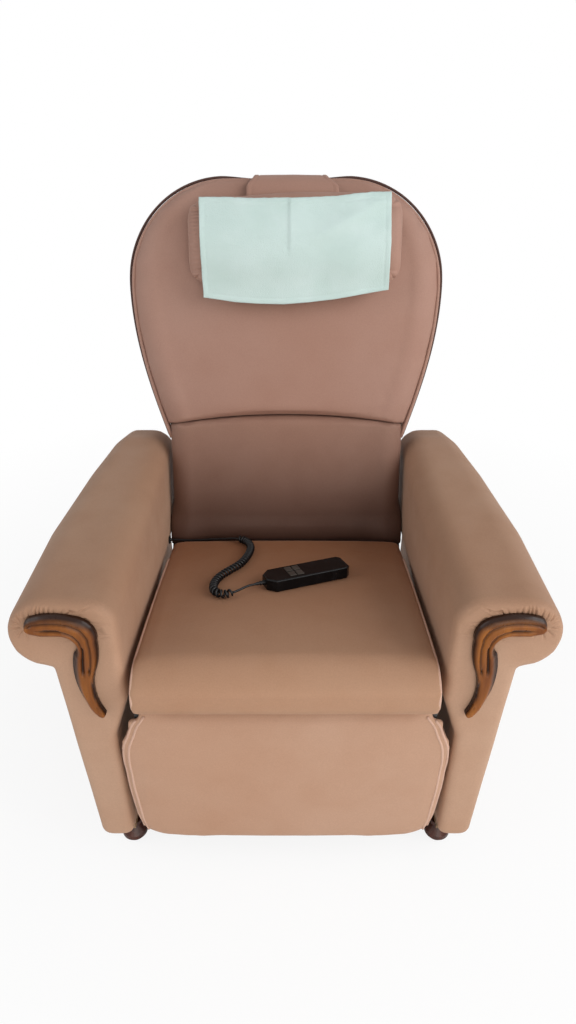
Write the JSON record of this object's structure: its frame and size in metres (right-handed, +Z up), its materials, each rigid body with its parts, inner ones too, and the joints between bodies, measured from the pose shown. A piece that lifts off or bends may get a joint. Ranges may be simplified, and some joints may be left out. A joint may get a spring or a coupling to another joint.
{
  "type": "reclining chair",
  "caption": "Padded reclining chair with carved arm fronts, a lifting legrest, a wired handset and linear motors under the seat.",
  "frame": {"origin": "on the floor, under the middle of the chair's overall box", "axes": "+X to the viewer's right as the chair is seen from the front, +Y towards the back, +Z up"},
  "size_m": [0.864, 0.8455, 1.1251],
  "materials": {
    "cover_tan": "smooth dusty tan upholstery",
    "cover_rose": "smooth rose brown upholstery",
    "cover_brown": "smooth brown upholstery",
    "towel_cloth": "pale mint terry towel",
    "weight_cloth": "smooth brown upholstery, sand filled",
    "carved_wood": "satin varnish over carved wood",
    "foot_wood": "dark mahogany varnish",
    "frame_wood": "plain plywood",
    "webbing": "woven elastic webbing",
    "painted_steel": "black powder coat",
    "bright_steel": "zinc plated steel",
    "motor_black": "fine textured black plastic",
    "tube_grey": "plain aluminium tube",
    "handset_black": "glossy black plastic",
    "circuit_green": "green circuit board",
    "key_grey": "grey rubber",
    "cord_black": "black rubber"
  },
  "bodies": {
    "seat_base": {"arm_pad_left": "cover_tan", "arm_pad_right": "cover_tan", "seat_cushion": "cover_brown", "arm_trim_left": "carved_wood", "arm_trim_right": "carved_wood", "foot_front_left": "foot_wood", "foot_front_right": "foot_wood", "foot_rear_left": "foot_wood", "foot_rear_right": "foot_wood", "arm_frame_left": "frame_wood", "arm_frame_right": "frame_wood", "seat_webbing": "webbing", "front_rail": "painted_steel", "rear_rail": "painted_steel", "seat_plate_left": "painted_steel", "seat_plate_right": "painted_steel", "frame_bolts": "bright_steel", "motor_pins": "bright_steel", "control_box": "motor_black", "control_box_lid": "motor_black", "mains_inlet": "motor_black", "handset_lower": "handset_black", "handset_upper": "handset_black", "handset_circuit": "circuit_green", "cord_gland": "cord_black", "handset_relief": "cord_black", "cord_lead": "cord_black", "cord_curl": "cord_black", "cord_tail": "cord_black"},
    "back": {"back_pad_upper": "cover_rose", "back_pad_lumbar": "cover_brown", "back_board": "frame_wood", "back_cover": "cover_brown", "back_bracket_left": "painted_steel", "back_bracket_right": "painted_steel", "back_axle": "bright_steel", "back_lever": "painted_steel", "headrest_strap": "cover_rose"},
    "headrest": {"head_pillow": "cover_rose", "head_towel": "towel_cloth"},
    "counterweight": {"headrest_weight": "weight_cloth"},
    "legrest": {"legrest_pad": "cover_tan", "legrest_board": "frame_wood", "legrest_arms": "painted_steel", "legrest_axle": "bright_steel", "legrest_lever": "painted_steel"},
    "back_drive": {"back_motor": "motor_black", "back_tube": "tube_grey"},
    "back_ram": {"back_rod": "bright_steel"},
    "legrest_drive": {"legrest_motor": "motor_black", "legrest_tube": "tube_grey"},
    "legrest_ram": {"legrest_rod": "bright_steel"},
    "key_1": {"key_1": "key_grey"},
    "key_2": {"key_2": "key_grey"},
    "key_3": {"key_3": "key_grey"},
    "key_4": {"key_4": "key_grey"}
  },
  "joints": [
    {"name": "back_recline", "type": "hinge", "parent": "seat_base", "child": "back", "pos_m": [0, 0.115, 0.372], "axis": [-1, 0, 0], "range_deg": [0, 45]},
    {"name": "legrest_lift", "type": "hinge", "parent": "seat_base", "child": "legrest", "pos_m": [0, -0.37, 0.358], "axis": [-1, 0, 0], "range_deg": [0, 85]},
    {"name": "back_motor_tilt", "type": "hinge", "parent": "seat_base", "child": "back_drive", "pos_m": [-0.07, -0.25, 0.3], "axis": [1, 0, 0], "range_deg": [0, 0.26]},
    {"name": "back_rod_slide", "type": "slide", "parent": "back_drive", "child": "back_ram", "axis": [0, 0.9995, 0.0306], "range_m": [-0.0498, 0]},
    {"name": "legrest_motor_tilt", "type": "hinge", "parent": "seat_base", "child": "legrest_drive", "pos_m": [0.07, 0.105, 0.212], "axis": [1, 0, 0], "range_deg": [0, 6.13]},
    {"name": "legrest_rod_slide", "type": "slide", "parent": "legrest_drive", "child": "legrest_ram", "axis": [0, -0.963, 0.2694], "range_m": [0, 0.0756]},
    {"name": "headrest_slide", "type": "slide", "parent": "back", "child": "headrest", "axis": [0, 0.2924, 0.9563], "range_m": [-0.06, 0.015]},
    {"name": "counterweight_slide", "type": "slide", "parent": "back", "child": "counterweight", "axis": [0, 0.2924, 0.9563], "range_m": [-0.015, 0.06]},
    {"name": "key_1_press", "type": "slide", "parent": "seat_base", "child": "key_1", "axis": [0, -0.1488, -0.9889], "range_m": [0, 0.001], "stiffness_N_per_m": 900, "springref_m": -0.0008},
    {"name": "key_2_press", "type": "slide", "parent": "seat_base", "child": "key_2", "axis": [0, -0.1488, -0.9889], "range_m": [0, 0.001], "stiffness_N_per_m": 900, "springref_m": -0.0008},
    {"name": "key_3_press", "type": "slide", "parent": "seat_base", "child": "key_3", "axis": [0, -0.1488, -0.9889], "range_m": [0, 0.001], "stiffness_N_per_m": 900, "springref_m": -0.0008},
    {"name": "key_4_press", "type": "slide", "parent": "seat_base", "child": "key_4", "axis": [0, -0.1488, -0.9889], "range_m": [0, 0.001], "stiffness_N_per_m": 900, "springref_m": -0.0008}
  ],
  "couplings": [
    {"joint": "back_motor_tilt", "follows": "back_recline", "ratio": 0.005701},
    {"joint": "back_rod_slide", "follows": "back_recline", "m_per_rad": -0.063308},
    {"joint": "legrest_motor_tilt", "follows": "legrest_lift", "ratio": 0.072016},
    {"joint": "legrest_rod_slide", "follows": "legrest_lift", "m_per_rad": 0.050919},
    {"joint": "counterweight_slide", "follows": "headrest_slide", "ratio": -1}
  ]
}
